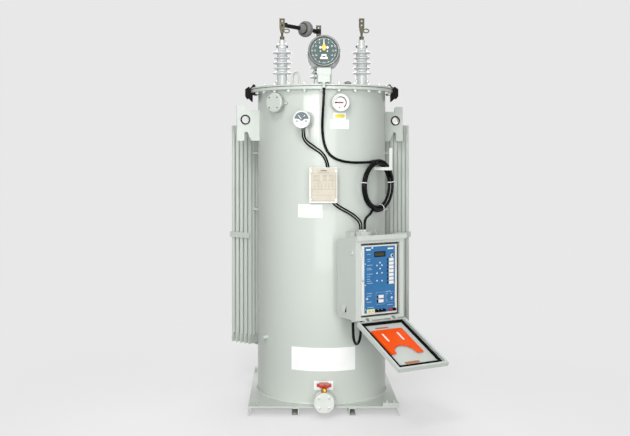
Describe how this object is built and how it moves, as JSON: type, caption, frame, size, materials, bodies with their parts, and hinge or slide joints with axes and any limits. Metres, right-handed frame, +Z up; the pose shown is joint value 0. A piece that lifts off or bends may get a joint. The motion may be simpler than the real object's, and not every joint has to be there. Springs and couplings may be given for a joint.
{
  "type": "step voltage regulator",
  "caption": "Single-phase step voltage regulator: round oil tank with finned radiators, three porcelain bushings, dial indicator, drain valve and an open control cabinet.",
  "frame": {"origin": "on the ground under the tank's axis, in the middle of the anchor bolts of the two base channels", "axes": "+Z up; -Y is the front, with the drain valve and the dial indicator; +X is the right, with the control cabinet at the front right"},
  "size_m": [1.0646, 1.2847, 2.0203],
  "materials": {
    "tank_paint": "satin",
    "cabinet_paint": "satin",
    "black_casting": "satin",
    "gasket_rubber": "matte",
    "porcelain": "gloss",
    "terminal_bronze": "satin",
    "arrester_polymer": "satin",
    "black_cable": "satin",
    "gauge_metal": "satin",
    "valve_metal": "satin",
    "valve_brass": "satin",
    "handwheel_paint": "satin",
    "plate_aluminium": "satin",
    "panel_white": "satin",
    "panel_dark": "satin",
    "control_plastic": "gloss",
    "pocket_plastic": "satin",
    "hinge_steel": "satin"
  },
  "bodies": {
    "regulator": {"base_plate": "tank_paint", "base_skids": "tank_paint", "tank_shell": "tank_paint", "tank_floor": "tank_paint", "tank_rim": "tank_paint", "cover_gasket": "gasket_rubber", "cover": "tank_paint", "cover_eye": "tank_paint", "rim_clamps": "black_casting", "lug_left": "tank_paint", "lug_right": "tank_paint", "tank_bosses": "tank_paint", "radiator_left_panels": "tank_paint", "radiator_left_headers": "tank_paint", "radiator_right_panels": "tank_paint", "radiator_right_headers": "tank_paint", "radiator_braces": "tank_paint", "bushing_left": "porcelain", "bushing_right": "porcelain", "bushing_rear": "porcelain", "bushing_collars": "tank_paint", "terminal_left": "terminal_bronze", "terminal_right": "terminal_bronze", "terminal_rear": "terminal_bronze", "arrester": "arrester_polymer", "arrester_leads": "black_cable", "hand_hole": "tank_paint", "level_gauge": "gauge_metal", "thermometer": "gauge_metal", "indicator_case": "gauge_metal", "indicator_stand": "tank_paint", "drain_valve": "valve_metal", "drain_bonnet": "valve_brass", "nameplate": "plate_aluminium", "cable_hanger": "tank_paint", "cabinet_body": "cabinet_paint", "cabinet_roof": "cabinet_paint", "cabinet_brackets": "tank_paint", "gland_box": "cabinet_paint", "cabinet_fittings": "cabinet_paint", "control_panel": "panel_white", "faceplate": "panel_dark", "panel_controls": "control_plastic", "hinge_leaves": "hinge_steel", "indicator_cable": "black_cable", "indicator_cable_tail": "black_cable", "gauge_cable_1": "black_cable", "gauge_cable_2": "black_cable", "cabinet_loop": "black_cable", "cable_coil": "black_cable"},
    "door": {"door_panel": "cabinet_paint", "door_seal": "gasket_rubber", "document_pocket": "pocket_plastic"},
    "handwheel": {"drain_handwheel": "handwheel_paint"}
  },
  "joints": [
    {"name": "door_hinge", "type": "hinge", "parent": "regulator", "child": "door", "pos_m": [0.27149, -0.48979, 0.498], "axis": [-0.8746, -0.4848, 0], "range_deg": [0, 114]},
    {"name": "handwheel_spin", "type": "hinge", "parent": "regulator", "child": "handwheel", "pos_m": [0, -0.413, 0.16], "axis": [0, 0, 1], "range_deg": [0, 720]}
  ]
}
